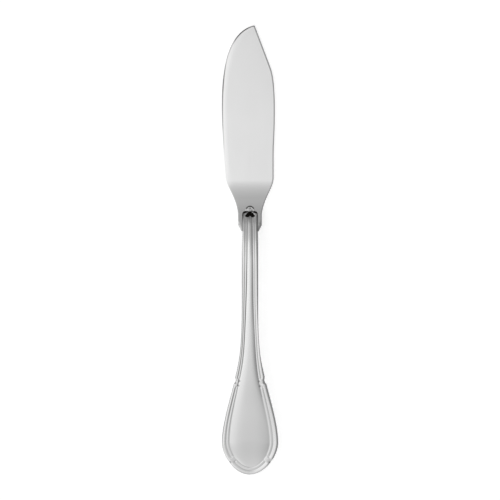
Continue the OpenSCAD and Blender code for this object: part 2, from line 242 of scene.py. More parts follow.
# %% Outline and border of the handle
neck_w = 7.1
end_w = 25.1
belly_l = 14.5
tongue_r = 2
neck_top_share = 1.03
rounding_share = 0.82
upper_tie_l, lower_tie_l = 42, 5.6
upper_nick, lower_nick = 0.6, 0.15
nick_reach = 1.8

neck_half = neck_w / 2
end_half = end_w / 2
belly_y = end_y + belly_l
neck_top_y = tongue_y - neck_top_share * tongue_r
round_y = neck_top_y - rounding_share * neck_half
upper_tie_y, lower_tie_y = end_y + upper_tie_l, end_y + lower_tie_l

top_shares = ((0, 0), (0.95, 0), (1, 0.12), (0.96, 1))
side_shares = ((0.05, 0.183), (-0.05, 0.463), (0.106, 0.589), (0.239, 0.729), (0.972, 0.875), (1, 1))
end_shares = ((1, 0.414), (0.558, 1), (0, 1))
smooth_line = bezier_chain(
    [(s * neck_half, mix(neck_top_y, round_y, v)) for s, v in top_shares]
    + [(mix(neck_half, end_half, s), mix(round_y, belly_y, v)) for s, v in side_shares]
    + [(s * end_half, mix(belly_y, end_y, v)) for s, v in end_shares]
)
ties = ((upper_tie_y, upper_nick), (lower_tie_y, lower_nick))
nick = sum(d * ease(1 - np.abs(smooth_line[:, 1] - y) / nick_reach) for y, d in ties)
bare_line = outline(smooth_line, 1)
handle_line = outline(smooth_line + nick[:, None] * bare_line["inward"], 1)
print("outline has", len(handle_line["points"]), "samples over", round(handle_line["length"][-1], 1), "mm")

# %% Width of the border
border_places = (-100, -86, -76, -66, -58, -50, -44, -36, -27, -14, -9, 0, 20)
left_widths = (3.3, 3.35, 2.85, 2.5, 2.15, 1.85, 1.7, 1.62, 1.8, 2.15, 2.2, 2.4, 2.4)
right_widths = (3.3, 3.8, 3.6, 3.3, 3, 2.3, 2, 1.95, 2.15, 2.25, 2.2, 2.4, 2.4)
border_blur = 8
blur_steps = 20


def blurred_table(places, values, blur):
    """A function that reads a table of places along the knife, with its corners blurred over a length."""
    grid = np.arange(places[0] - blur, places[-1] + blur, blur / blur_steps)
    kernel = np.hanning(2 * blur_steps + 1)
    padded = np.pad(np.interp(grid, places, values), blur_steps, mode="edge")
    smooth = np.convolve(padded, kernel / kernel.sum(), mode="valid")
    return lambda y: np.interp(y, grid, smooth)


left_border_w = blurred_table(border_places, left_widths, border_blur)
right_border_w = blurred_table(border_places, right_widths, border_blur)
print("border at the belly is", np.round([left_border_w(belly_y), right_border_w(belly_y)], 2), "mm wide")

# %% [markdown]
# ## The handle's relief
# The relief is one function of the plan: the height above the middle surface. From the outline inwards it
# climbs the rounded rim, drops into a groove, passes over the thread and a second groove, and then swells
# to the crest in the middle. A displacement texture could do that, but only real points show at the edges
# and in the exported model. The same function returns how dark each point is painted: tarnish in the
# grooves, and painted shade in the pits, the recess and the other places where shade falls.

# %% Measures for the relief
flare_share = 0.5
root_t = 1.6
root_solder_t = 0.08
tongue_t = 0.35
axis_samples = 2400

tongue_h = root_t / 2 + root_solder_t + tongue_t
rivet_y = tongue_y - tongue_r
flare_y = mix(round_y, belly_y, flare_share)


def toward_end(y):
    return ease((flare_y - y) / (flare_y - belly_y))


def axis_inset(y):
    ys = np.linspace(end_y, neck_top_y, axis_samples)
    return np.interp(y, ys, measure_from(bare_line, 0, ys)[0])


def boss_place_y(side):
    return rivet_y + side * tongue_h * np.sin(root_slope)


def boss_distance(x, y, side):
    return np.hypot(x, (y - boss_place_y(side)) / np.cos(root_slope))


print("tongue is", round(tongue_h, 2), "mm above the middle surface")

# %% [markdown]
# ## Rim, thread and ties
# The rim and the thread are shallow, a tenth or two of a millimetre, as the soft grey steps in the photo
# show. At a tie the thread stops in a round end and a smooth knot fills the grooves. The upper ties also
# have two low beads, with small pits punched beside them, and the pits are painted dark as shade. They
# could be separate ribbons laid on top, but a die strikes them in one sheet, so they are part of the same
# height. How far in the right rim is highest, how deep the grooves are and how dark the grooves are painted
# change along the handle, so they are tables too. The dark in the grooves is partly tarnish and partly
# painted shade, and it is lighter on the right side. The right rim stands a little bolder towards the round
# end.

# %% Rim and thread
neck_rim_h = 1.62
neck_side_h, end_side_h = 1.22, 0.75
left_crest_share = 0.6
crest_places = (-100, -78, -70, -62, -55, -47, -36, -26, -12, 0, 20)
crest_shares = (0.36, 0.38, 0.48, 0.64, 0.5, 0.4, 0.38, 0.52, 0.62, 0.68, 0.68)
bold_h, bold_y, bold_l = 0.07, -55, 6
rim_fall_power = 1.15
rim_share = 0.62
thread_share = 0.5
groove_places = (-100, -84, -76, -66, -58, -20, -9, 0, 20)
groove_shares = (0.05, 0.036, 0.045, 0.065, 0.065, 0.058, 0.05, 0.03, 0.03)
rim_blur = 6
# Dark lines in the grooves, partly tarnish and partly painted shade, weaker on the right side.
tarnish_places = (-100, -88, -80, -68, -60, -50, -30, -10, 20)
rim_tarnish = (0.2, 0.05, 0.1, 0.15, 0.15, 0.2, 0.28, 0.3, 0.3)
thread_tarnish = (0.3, 0.1, 0.2, 0.2, 0.15, 0.8, 1.3, 1, 0.6)
groove_tarnish_w = 0.14
right_groove_share = 0.35

right_crest_share = blurred_table(crest_places, crest_shares, rim_blur)
groove_share = blurred_table(groove_places, groove_shares, rim_blur)
groove_depths = [round(float(groove_share(y) * left_border_w(y)), 2) for y in (belly_y, upper_tie_y, 0)]
print("grooves are", groove_depths, "mm deep at the belly, at the upper ties and in the middle")

# %% Knots, beads and pits
bead_r, bead_h = 0.7, 0.22
# The pits are painted dark, as shade.
pit_r, pit_d, pit_shade = 0.36, 0.08, 0.8
knot_crest = 0.45
knot_steepness = 3
# Each knot: its place, a shift along the line, half its length, its beads and its pits. Beads and pits lie
# at shares of half its length along the line and of the border's width across it.
knots = (
    (upper_tie_y, 0.5, 1.9, ((-0.4, 0.5), (0.75, 0.35)), ((-0.45, 1), (0.2, 0.32), (0.65, 1))),
    (lower_tie_y, 0, 1.5, (), ((0.2, 0.16),)),
)


def knot_measures(near, inset, border):
    """Distance along the line past the nearest knot, how far it fills the grooves, beads and pits."""
    past = np.full(inset.shape, np.inf)
    fill, beads, pits = (np.zeros(inset.shape) for _ in range(3))
    for knot_y, shift, half, bead_places, pit_places in knots:
        middle = bare_line["length"][np.argmin(np.abs(bare_line["points"][:, 1] - knot_y))] + shift
        run = bare_line["length"][near] - middle
        past = np.minimum(past, np.abs(run) - half)
        fill = np.maximum(fill, ease(knot_steepness * (1 - np.abs(run) / half)))
        for places, found, reach in ((bead_places, beads, bead_r), (pit_places, pits, pit_r)):
            for along, across in places:
                off = np.hypot(run - along * half, inset - across * border)
                np.maximum(found, np.exp(-((off / reach) ** 2)), out=found)
    return past, fill, beads, pits


def border_relief(near, inset, edge_inset, border, on_left):
    """Height of the rim, the thread and the knots, the level that the field starts from, and tarnish with
    painted shade.
    """
    along = bare_line["points"][near, 1]
    rim_h = mix(neck_rim_h, end_rim_h, toward_end(along))
    side_h = mix(neck_side_h, end_side_h, toward_end(along))
    groove_d = groove_share(along) * left_border_w(along)
    rim = rim_share * border
    rim_round = np.where(on_left, left_crest_share, right_crest_share(along)) * rim
    bold = np.where(on_left, 0, bold_h * ease((bold_y - along) / bold_l))
    half_thread = (border - rim) / 2
    past, fill, beads, pits = knot_measures(near, inset, border)
    climb = side_h + (rim_h + bold - side_h) * (1 - (1 - np.clip(edge_inset / rim_round, 0, 1)) ** 2)
    down = np.clip((inset - rim_round) / (rim - rim_round), 0, 1) ** rim_fall_power
    fall = rim_h + bold - (groove_d + bold) * down
    off = np.hypot(inset - rim - half_thread, np.clip(half_thread - past, 0, None))
    thread = rim_h - groove_d + thread_share * groove_d * np.clip(1 - (off / half_thread) ** 2, 0, 1)
    knot = rim_h - groove_d * ((inset / border - knot_crest) / (1 - knot_crest)) ** 2
    struck = mix(np.where(inset < rim, fall, thread), knot, fill)
    height = np.minimum(climb, struck + bead_h * beads) - pit_d * pits
    rim_dark = np.interp(along, tarnish_places, rim_tarnish)
    thread_dark = np.interp(along, tarnish_places, thread_tarnish)
    thread_dark = thread_dark * np.where(on_left, 1, right_groove_share)
    lines = sum(
        dark * np.exp(-(((inset - place) / groove_tarnish_w) ** 2))
        for dark, place in ((rim_dark, rim), (thread_dark, border))
    )
    tarnish = np.maximum(lines * (1 - fill), pit_shade * pits)
    return height, rim_h - groove_d, tarnish * (edge_inset > 0)


print("ties:", [(round(knot[0], 1), len(knot[3]), "beads", len(knot[4]), "pits") for knot in knots])

# %% [markdown]
# ## The field
# Inside the border the field swells to a low crest. Its rise along the handle is another short table, and
# towards the round end it fills out from a ridge to a cushion. The neck swells once more over the blade's
# root. Sculpting could give all this, but a formula keeps the two shells alike and can be corrected by one
# number.

# %% Field
rise_places = (-100, -80, -67, -60, -53, -44, -36, -22, -9, 0, 20)
rise_heights = (0.38, 0.38, 0.37, 0.42, 0.45, 0.37, 0.28, 0.33, 0.28, 0.22, 0.22)
rise_blur = 8
swell_places = (-6, 0, 5, 11, 13, 15, 17, 20)
swell_heights = (0, 0.1, 0.25, 0.42, 0.4, 0.22, 0, 0)
swell_blur = 3
ridge_power, cushion_power = 2, 3.4
cushion_y, cushion_l = -34, 32
least_field_w = 0.05

crest_rise = blurred_table(rise_places, rise_heights, rise_blur)
neck_swell = blurred_table(swell_places, swell_heights, swell_blur)


def field_relief(y, inset, border, low):
    """Height of the field, from its low border to the crest."""
    swell = np.clip((inset - border) / np.maximum(axis_inset(y) - border, least_field_w), 0, 1)
    field_end = end_y + left_border_w(end_y)
    end_fade = 1 - np.clip((belly_y - y) / (belly_y - field_end), 0, 1) ** 2
    power = mix(ridge_power, cushion_power, ease((cushion_y - y) / cushion_l))
    return low + crest_rise(y) * (1 - (1 - swell) ** power) * end_fade


print("field rises by", round(float(crest_rise(belly_y)), 2), "mm at the belly")

# %% [markdown]
# ## The tip of the neck
# Here the struck form is cut back round the rivet: a flat tongue with a rounded edge, a round seat, and a
# deep recess in the shape of a blunt M. It could be cut with booleans, but soft steps in the same height
# leave no torn faces. Shade is painted near black into the recess and onto the outer slopes of the reeds'
# round ends, which face the blade and show as two dark hooks. Shade is also painted in a ring on the
# tongue, as a shadow along the lap over the blade's root, and as a soft smoke just behind the recess. It
# is heavier on the left.

# %% Tongue and recess
seat_r, seat_wall = 1.8, 0.25
tongue_round = 0.2
tongue_tilt = 0.06
recess_h = 0.98
recess_top_y, recess_shoulder_y, recess_low_y = 17.1, 15.2, 14.6
recess_half = 2.1
recess_edge = 0.25
recess_spread_power = 0.6
ridge_half, ridge_lead = 0.5, 0.6
corner_x, corner_w, corner_lift = 1.5, 0.4, 0.35


def soft_step(v, width):
    """Zero to one over a width that has its middle at zero."""
    return ease(v / width + 0.5)


def recess_mask(x, y):
    """One inside the M recess behind the rivet, and zero on the reeds and the ridge round it."""
    down = np.clip((recess_top_y - y) / (recess_top_y - recess_shoulder_y), 0, 1)
    half = recess_half * down**recess_spread_power
    ridge = ridge_lead * np.exp(-((x / ridge_half) ** 2))
    low = recess_low_y + ridge + corner_lift * ease((x - corner_x) / corner_w)
    return soft_step(half - x, recess_edge) * soft_step(y - low, recess_edge)


def tongue_height(y, from_boss, side):
    rounding = 1 - np.clip((tongue_r - from_boss) / tongue_round, 0, 1)
    return tongue_h + tongue_tilt * (y - boss_place_y(side)) - tongue_round / 2 * rounding**2


print("recess is", 2 * recess_half, "mm wide and", round(recess_top_y - recess_low_y, 1), "mm long")

# %% Painted shade at the tip of the neck
# How dark the painted shade at the tip of the neck is, at its fullest.
full_tarnish = 1.35
ring_in, ring_w = 0.24, 0.26
ring_y, ring_l = 17.9, 0.7
facing_gain, facing_bias = 3, 0.1
hook_w, right_hook_share = 1, 0.9
lap_dark, lap_w = (0.7, 1.1), 1.1
lap_first_y, lap_full_l = 11, 5
lap_spread, lap_spread_y, lap_spread_l = 1.8, 13, 3
left_smoke, right_smoke = 0.76, 0.56
smoke_l, border_smoke_share = 2, 0.5


def ring_shade(y, from_boss):
    """Painted shade in a ring just inside the tongue's edge, on the side of the blade."""
    ring = full_tarnish * np.exp(-(((tongue_r - ring_in - from_boss) / ring_w) ** 2))
    return ring * ease((y - ring_y) / ring_l)


def hook_shade(y, inset, near, seat, on_left):
    """Painted shade on the reeds' round ends, where the outline turns to face the blade; lighter on the
    right.
    """
    facing = ease(-facing_gain * bare_line["inward"][near, 1] - facing_bias)
    hook = facing * (1 - soft_step(inset - hook_w, hook_w)) * seat
    return full_tarnish * hook * np.where(on_left, 1, right_hook_share) * (y > round_y)


def lap_shade(y, inset, on_left):
    """Painted shadow on both sides of the neck where it laps over the blade's root."""
    spread = mix(1, lap_spread, ease((y - lap_spread_y) / lap_spread_l))
    reach = lap_w * np.where(on_left, spread, 1)
    lap = mix(*lap_dark, ease((y - lap_first_y) / lap_full_l)) * (1 - ease(inset / reach))
    return lap * (y > shoulder_y)


def smoke_shade(y, inset, border, on_left):
    """Painted shade just behind the recess, and thinner on the border."""
    smoke = np.exp(-((np.clip(recess_low_y - y, 0, None) / smoke_l) ** 2))
    smoke = smoke * np.where(on_left, left_smoke, right_smoke)
    return smoke * np.where(inset > border, 1, border_smoke_share) * (y < recess_top_y)


def handle_relief(x, y, side):
    """Height above the middle surface, and tarnish with painted shade, for arrays of points in plan."""
    on_left = x < 0
    x, y = np.broadcast_arrays(np.abs(x), y)
    inset, near = measure_from(bare_line, x, y)
    edge_inset, _ = measure_from(handle_line, x, y)
    along = bare_line["points"][near, 1]
    border = np.where(on_left, left_border_w(along), right_border_w(along))
    edge_h, low, tarnish = border_relief(near, inset, edge_inset, border, on_left)
    height = np.where(inset < border, edge_h, field_relief(y, inset, border, low)) + neck_swell(y)
    from_boss = boss_distance(x, y, side)
    seat = soft_step(from_boss - seat_r, seat_wall)
    tongue = tongue_height(y, from_boss, side)
    inside = inset > 0
    height = np.where(inside | (y < round_y), mix(tongue, height, seat), tongue)
    recess = recess_mask(x, y)
    # Tarnish and painted shade in the grooves and pits, and painted shade in the recess, the ring, the
    # hooks, the lap and behind the recess.
    dark_marks = (
        tarnish,
        full_tarnish * recess,
        ring_shade(y, from_boss),
        hook_shade(y, inset, near, seat, on_left) * inside,
        lap_shade(y, inset, on_left) * inside,
        smoke_shade(y, inset, border, on_left) * inside,
    )
    return mix(height, recess_h, recess), np.max(dark_marks, axis=0)


belly_h, _ = handle_relief(np.zeros(1), np.full(1, belly_y), 1)
print("handle is", round(2 * float(belly_h[0]), 2), "mm thick at the belly")

# %% [markdown]
# ## The shells
# Each shell is a thin struck skin with a flat flange at the seam. A solidify modifier could give it its
# wall, but the hollow is smoother than the outside. So a ring of points goes over the outside from the left
# foot to the right foot, and back along the flange and the hollow. The columns of points follow the border,
# so that a column lies along each groove. Only at the round ends, where the grooves cross the rings, are
# they spread evenly. Over the blade's root the foot stands higher, because the shell laps over it there.

# %% Columns of the shells
rim_columns, thread_columns, field_columns, hollow_columns = 16, 12, 22, 4
even_top, even_end = 14.8, -95.5
even_run = 1.5
trial_count = 200
least_field_share = 1.01


def half_width(y, side):
    line = handle_line["points"][::-1]
    neck = np.interp(y, line[:, 1], line[:, 0], right=0)
    lift = (y - boss_place_y(side)) / np.cos(root_slope)
    return np.maximum(neck, np.sqrt(np.clip(tongue_r**2 - lift**2, 0, None)))


def column_places(y, width, border_w):
    """Distance of each column from the axis, on each row, from the outline inwards."""
    trial = width[:, None] * np.linspace(1, 0, trial_count)[None, :]
    inset, near = measure_from(handle_line, trial, y[:, None])
    share = np.maximum.accumulate(inset / border_w(handle_line["points"][near, 1]), axis=1)
    rim = rim_share * (1 - np.cos(np.linspace(0, np.pi / 2, rim_columns, endpoint=False)))
    thread = np.linspace(rim_share, 1, thread_columns, endpoint=False)
    count = rim_columns + thread_columns + field_columns + 1
    even = np.linspace(1, 0, count)
    places = []
    for row, w in enumerate(width):
        field = np.linspace(1, max(share[row, -1], least_field_share), field_columns + 1)
        follow = np.interp(np.concatenate([rim, thread, field]), share[row], trial[row])
        keep = ease((even_top - y[row]) / even_run) * ease((y[row] - even_end) / even_run)
        places.append(mix(w * even, follow, keep))
    places = np.array(places)
    places[:, -1] = 0
    return places


print("half a shell has", rim_columns + thread_columns + field_columns + 1, "columns")

# %% Front and rear shells
seam_t = 0.12
flange_w = 1.3
wall = 0.7
shoulder_gap = 0.05
hollow_lead = 3
tip_sliver = 0.003
row_places = (-100, -97, -88, -64, -62, -55, -53, 10, 14, 20)
row_steps = (0.03, 0.08, 0.3, 0.35, 0.1, 0.1, 0.5, 0.35, 0.06, 0.06)
shell_crease = 26

seat_half_h = (root_t / 2 + root_solder_t) / np.cos(root_slope)
slot_y = shoulder_y - shoulder_gap


def shell_rings(side):
    """Rings of one shell from the tip of the neck to the round end, and their tarnish and painted shade."""
    top = boss_place_y(side) + tongue_r * np.cos(root_slope) - tip_sliver
    y = march(top, end_y + tip_sliver, row_places, row_steps)
    y = np.sort(np.append(y, [slot_y - tip_sliver, slot_y + tip_sliver]))[::-1]
    width = half_width(y, side)
    left_x = -column_places(y, width, left_border_w)
    right_x = column_places(y, width, right_border_w)
    left_h, left_tarnish = handle_relief(left_x, y[:, None], side)
    right_h, right_tarnish = handle_relief(right_x, y[:, None], side)
    foot = np.where(y > slot_y, seat_half_h, seam_t / 2)[:, None]
    inner_x = (width - np.minimum(flange_w, width / 2))[:, None] * np.linspace(1, 0, hollow_columns + 1)
    roof, _ = handle_relief(inner_x, y[:, None], side)
    fade = ease((shoulder_y - y) / hollow_lead) * ease((y - end_y - flange_w) / belly_l)
    hollow = foot + fade[:, None] * np.clip(roof - wall - foot, 0, None)
    edge = width[:, None]
    across = np.hstack([left_x, right_x[:, -2::-1], edge, inner_x, -inner_x[:, -2::-1], -edge])
    up = np.hstack([left_h, right_h[:, -2::-1], foot, hollow, hollow[:, -2::-1], foot])
    none = 0 * across[:, 2 * left_x.shape[1] - 1 :]
    dark_marks = np.hstack([left_tarnish, right_tarnish[:, -2::-1], none])
    rows = np.broadcast_to(y[:, None], across.shape)
    return np.stack([across, rows, mid_z(rows) + side * up], axis=-1), dark_marks


shells = {}
for shell_name, shell_side in (("front_shell", 1), ("rear_shell", -1)):
    shell_points, shell_dark_marks = shell_rings(shell_side)
    shells[shell_name] = loft(shell_name, shell_points, shell_crease, tarnish=shell_dark_marks)

# %% [markdown]
# ## The blade
# The blade is a flat plate with a shallow bevel along its cutting edge and a softly rolled back. A
# solidified outline with a bevel modifier would come close, but this bevel is widest near the tip and fades
# out at the point and towards the heel, so it is cut by a formula along the edge. The root slopes up under
# the handle, rolls off at its foot and ends in a tang. A painted shade line runs just inside the edge, the
# root is a little darker towards the handle, and a fine painted shadow runs where the handle laps over it.

# %% Blade outline
blade_l = 91.8
edge_reach, back_reach = 12.55, 11.25
point_offset, point_w = 1.6, 1
root_w = 10.5
root_chamfer_l, root_chamfer_w = 2.8, 1.5
side_samples, blunt_samples = 200, 40

root_half = root_w / 2
edge_shares = (
    (0.8, 0.958), (1, 0.76), (1, 0.608), (1, 0.488), (0.886, 0.357),
    (0.77, 0.261), (0.696, 0.2), (0.165, 0.181), (0, 0.085),
)
back_shares = (
    (-0.108, 0.927), (0.4, 0.841), (0.675, 0.791), (1.025, 0.728), (1.02, 0.564), (0.89, 0.412),
    (0.875, 0.36), (0.88, 0.31), (0.88, 0.259), (0.862, 0.213), (0.162, 0.163), (0, 0.085),
)


def root_side(turn):
    """The root's side below the blade, chamfered to the shoulder."""
    top = (turn * root_half, shoulder_y + root_chamfer_l)
    foot = (turn * (root_half - root_chamfer_w), shoulder_y)
    return np.linspace(top, foot, side_samples)


edge_curve = bezier_chain(
    [(point_offset - point_w / 2, point_y)]
    + [(-mix(root_half, edge_reach, s), shoulder_y + v * blade_l) for s, v in edge_shares]
)
back_curve = bezier_chain(
    [(point_offset + point_w / 2, point_y)]
    + [(mix(root_half, back_reach, s), shoulder_y + v * blade_l) for s, v in back_shares]
)
blunt = np.linspace(edge_curve[0], back_curve[0], blunt_samples)
left_side = np.vstack([edge_curve, root_side(-1)])
right_side = np.vstack([back_curve, root_side(1)])
edge_line = outline(left_side, -1)
rest_line = outline(np.vstack([blunt[:-1], right_side]), 1)
print("blade is", round(float(right_side[:, 0].max() - left_side[:, 0].min()), 2), "mm wide")

# %% Section of the blade
tip_bevel_w, tip_bevel_d = 4.6, 0.24
bevel_w, bevel_d = 2.6, 0.15
back_round, back_drop = 0.65, 0.2
root_round, root_drop = 0.6, 0.17
left_drop_share = 1 / 3
foot_round, foot_drop, foot_l = 1.6, 0.58, 3
edge_chamfer, edge_slope = 0.34, np.tan(np.radians(38))
face_crown = 0.03
root_hollow = 0.1
# A painted shade line just inside the cutting edge, and how dark it is along the knife.
edge_shade_places = (42, 50, 58, 66, 72, 76, 80, 84, 91.5, 92.5, 93.5, 95, 97, 98.5, 100)
edge_shade_darks = (0, 0.35, 0.5, 0.6, 0.95, 1, 0.6, 0.13, 0.05, 0.4, 0.8, 1.1, 1.2, 1.2, 0.85)
edge_shade_in, edge_shade_w = 0.33, 0.22
# Places along the edge are counted in its curves, from 0 at the point to 3 where the root starts.
bevel_first_run, bevel_in_run = -0.1, 0.4
bevel_last_run, bevel_out_run = 2.5, 0.7
chamfer_last_run, chamfer_out_run = 1.5, 0.5
heel_run, heel_in_run = 2, 0.5
root_run = 3

root_half_h = root_t / 2 / np.cos(root_slope)


def soft_corner(inset, reach, drop):
    """A corner that rolls off evenly, to a slope of twice the drop over the reach."""
    return drop * (1 - np.clip(inset / reach, 0, 1)) ** 2


def blade_half(x, y, across):
    """Half thickness with the bevel, the keen edge and the rolled sides, and a painted shade line inside
    the edge.
    """
    on_root = ease((bend_y - y) / bend_l)
    on_foot = ease((shoulder_y + root_chamfer_l + foot_l - y) / foot_l)
    down_root = np.clip((ramp_y - y) / (ramp_y - shoulder_y), 0, 1)
    hollow = root_hollow * down_root**2 * (1 - down_root)
    flat = mix(blade_t / 2, root_half_h, on_root) - hollow - face_crown * across**2
    reach = mix(mix(back_round, root_round, on_root), foot_round, on_foot)
    drop = mix(mix(back_drop, root_drop, on_root), foot_drop, on_foot)
    back_inset, _ = measure_from(rest_line, x, y)
    inset, near = measure_from(edge_line, x, y)
    run = near / curve_samples
    fade = ease((run - bevel_first_run) / bevel_in_run) * ease((bevel_last_run - run) / bevel_out_run)
    bevel_reach = mix(tip_bevel_w, bevel_w, ease(run))
    bevel = soft_corner(inset, bevel_reach, fade * mix(tip_bevel_d, bevel_d, ease(run)))
    keen = edge_slope * np.clip(edge_chamfer - inset, 0, None)
    keen = keen * ease((chamfer_last_run - run) / chamfer_out_run)
    heel = ease((run - heel_run) / heel_in_run) * np.maximum(1 - down_root, on_foot)
    left_root = soft_corner(inset, reach, left_drop_share * drop) * heel
    half = flat - bevel - keen - left_root - soft_corner(back_inset, reach, drop)
    edge_shade = np.interp(y, edge_shade_places, edge_shade_darks) * np.exp(-(((inset - edge_shade_in) / edge_shade_w) ** 2))
    return half, edge_shade * (run < root_run)


print("edge falls by", round(edge_slope * edge_chamfer, 2), "mm over its last", edge_chamfer, "mm")

# %% Blade
tang_w, tang_end_w, tang_l, tang_t = 3, 2.2, 42, 1.1
tang_row_count = 15
blade_row_places = (8, 22, 32, 92, 97, 100)
blade_row_steps = (0.12, 0.12, 0.5, 0.4, 0.12, 0.04)
edge_columns, back_columns, flat_columns = 26, 16, 60
edge_band, edge_band_share, edge_crowding = 3, 0.35, 1.5
back_band, back_band_share, back_crowding = 1.2, 0.25, 2
# The root is darker towards the handle.
root_darkening, root_darkening_y, root_darkening_l = 0.22, 22.5, 6
# A fine painted shadow on the root, along the handle's lap.
lap_shadow_w, lap_shadow_dark = 0.18, (0.8, 0.4)
blade_crease = 38

tang_y = shoulder_y - tang_l


def blade_rings():
    """Rings of the blade, its root and its tang, and how dark they are painted."""
    y = march(point_y, shoulder_y, blade_row_places, blade_row_steps)[:, None]
    left = np.interp(y, left_side[::-1, 1], left_side[::-1, 0])
    right = np.interp(y, right_side[::-1, 1], right_side[::-1, 0])
    width = right - left
    edge_w = np.minimum(edge_band, edge_band_share * width)
    back_w = np.minimum(back_band, back_band_share * width)
    x = np.hstack([
        left + edge_w * np.linspace(0, 1, edge_columns, endpoint=False) ** edge_crowding,
        mix(left + edge_w, right - back_w, np.linspace(0, 1, flat_columns, endpoint=False)),
        right - back_w * np.linspace(1, 0, back_columns) ** back_crowding,
    ])
    half, edge_shade = blade_half(x, np.broadcast_to(y, x.shape), (2 * x - left - right) / width)
    tang_rows = np.linspace(shoulder_y, tang_y, tang_row_count)[:, None]
    tang_half = mix(tang_w, tang_end_w, (shoulder_y - tang_rows) / tang_l) / 2
    tang_x = tang_half * np.linspace(-1, 1, x.shape[1])
    x = np.vstack([x, tang_x])
    half = np.vstack([half, np.full(tang_x.shape, tang_t / 2)])
    edge_shade = np.vstack([edge_shade, np.zeros(tang_x.shape)])
    y = np.vstack([y, tang_rows]) + 0 * x
    lap = -np.minimum(measure_from(handle_line, np.abs(x), y)[0], tongue_r)
    lap = np.minimum(lap, boss_distance(x, y, 1) - tongue_r)
    lap_shadow = mix(*lap_shadow_dark, ease((y - recess_low_y) / tongue_r)) * np.exp(-((lap / lap_shadow_w) ** 2))
    dimmer = root_darkening * ease((root_darkening_y - y) / root_darkening_l)
    dark_marks = np.maximum(np.maximum(lap_shadow, dimmer) * (y > shoulder_y), edge_shade)
    middle = mid_z(y)
    points = np.stack([
        np.hstack([x, x[:, ::-1]]),
        np.hstack([y, y]),
        np.hstack([middle + half, (middle - half)[:, ::-1]]),
    ], axis=-1)
    return points, np.hstack([dark_marks, dark_marks[:, ::-1]])


blade_points, blade_dark_marks = blade_rings()
blade = loft("blade_plate", blade_points, blade_crease, tarnish=blade_dark_marks)

# %% [markdown]
# ## The rivet
# The handle's tongue is held to the root by a small rivet, whose low round head shows as a boss. A squashed
# sphere could stand for it, but a rivet is turned, so it is spun from a profile like a part on a lathe. It
# stands square to the slope of the root. The head is a flat button on a short upright foot. A dash of
# painted shadow lies across it on the side of the blade, and its other side is painted as black as the
# recess behind it, as shade.

# %% Rivet
rivet_r = 0.6
head_r, head_h = 1.1, 0.5
tail_h = 0.25
foot_step = 0.06
head_flatness, tail_flatness = 5, 2
head_steps, tail_steps, turns = 28, 16, 72
pole_turn = 0.001
dash_dark, dash_r, dash_w = 0.9, 0.76, 0.2
dash_first = 0.5
shade_lead = 0.3


def button(r, h, steps, flatness):
    """Half a section of a low button, from its middle to its foot. More flatness squares its shoulder."""
    turn = np.linspace(pole_turn, np.pi / 2, steps)
    return np.column_stack([r * np.sin(turn) ** (2 / flatness), h * np.cos(turn)])


head = button(head_r, head_h - foot_step, head_steps, head_flatness) + (0, tongue_h + foot_step)
tail = button(head_r, tail_h, tail_steps, tail_flatness) * (1, -1) - (0, tongue_h)
profile = np.vstack([
    head,
    [(head_r, tongue_h), (rivet_r, tongue_h), (rivet_r, -tongue_h), (head_r, -tongue_h)],
    tail[::-1],
])
radius, level = profile[:, :1], profile[:, 1:]
spin = np.linspace(0, 2 * np.pi, turns, endpoint=False)
turned = np.stack([radius * np.cos(spin), radius * np.sin(spin), level + 0 * spin], axis=-1)
tilt = np.array(Matrix.Rotation(-root_slope, 3, "X"))
rivet_points = turned @ tilt.T + (0, rivet_y, float(mid_z(rivet_y)))
# A painted shadow dash across the head on the blade's side, and painted shade over its other side.
dash = dash_dark * np.exp(-(((dash_r - radius) / dash_w) ** 2))
dash = dash * ease((np.sin(spin) - dash_first) / (1 - dash_first))
shade = full_tarnish * ease((rivet_y - rivet_points[..., 1]) / head_r + shade_lead)
rivet = loft("rivet_boss", rivet_points, blade_crease, tarnish=np.maximum(dash, shade))

# %% [markdown]
# ## Which piece stands for what
# Every new piece rides on the one body of the knife and stands for its solid, which stays for collision.
# The cement, the seam solder and the root solder keep their solids: they are sealed inside, and only a hair
# of solder shows at the seam.

# %% Ride and replace
stands_for = (
    (blade, "blade", "blade_plate"),
    (shells["front_shell"], "front_handle_shell", "handle_plate"),
    (shells["rear_shell"], "rear_handle_shell", "handle_plate"),
    (rivet, "boss_rivet", "handle_plate"),
)
for piece, node_name, slot_name in stands_for:
    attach(piece, "root")
    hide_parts(node_name)
print("replaced:", [node_name for _, node_name, _ in stands_for])

# %% [markdown]
# ## Colours and nodes
# Colours are written as sRGB hex values, as a colour picker shows them, and turned to linear light by one
# function. One more function adds a node with its settings, values and links, so each material below reads
# as a list of its nodes.


# %% Helpers for materials
def linear(hex_colour):
    shown = [int(hex_colour[k : k + 2], 16) / 255 for k in (1, 3, 5)]
    return [c / 12.92 if c <= 0.04045 else ((c + 0.055) / 1.055) ** 2.4 for c in shown] + [1]


def add_node(tree, kind, settings=None, values=None, links=None):
    node = tree.nodes.new(kind)
    for key, value in (settings or {}).items():
        setattr(node, key, value)
    for key, value in (values or {}).items():
        node.inputs[key].default_value = value
    for key, socket in (links or {}).items():
        tree.links.new(socket, node.inputs[key])
    return node


def new_material(name):
    material = bpy.data.materials.new(name)
    material.use_nodes = True
    material.node_tree.nodes.clear()
    return material, material.node_tree


print("middle grey is", round(linear("#808080")[0], 3), "in linear light")

# %% [markdown]
# ## Polished silver plate
# The knife is electroplated with silver over a harder white metal and polished with a rotating mop. That
# gives the eye a pale, neutral mirror that is never quite clean: fine hairlines along the strokes of the
# mop, broad clouds where the hand has dulled it, and brown-black sulphide in the grooves. The same dark
# colour is laid as painted shade where the points ask for it, such as the recess, the rivet and the edges.
# A painted texture could hold all this, but noise stretched along the strokes has no seams and any
# fineness.
# Silver is a metal, so its colour is its reflection, and the IOR stays at its default. Real hairlines are a
# few hundredths of a millimetre wide; they are drawn wider here so that they show.

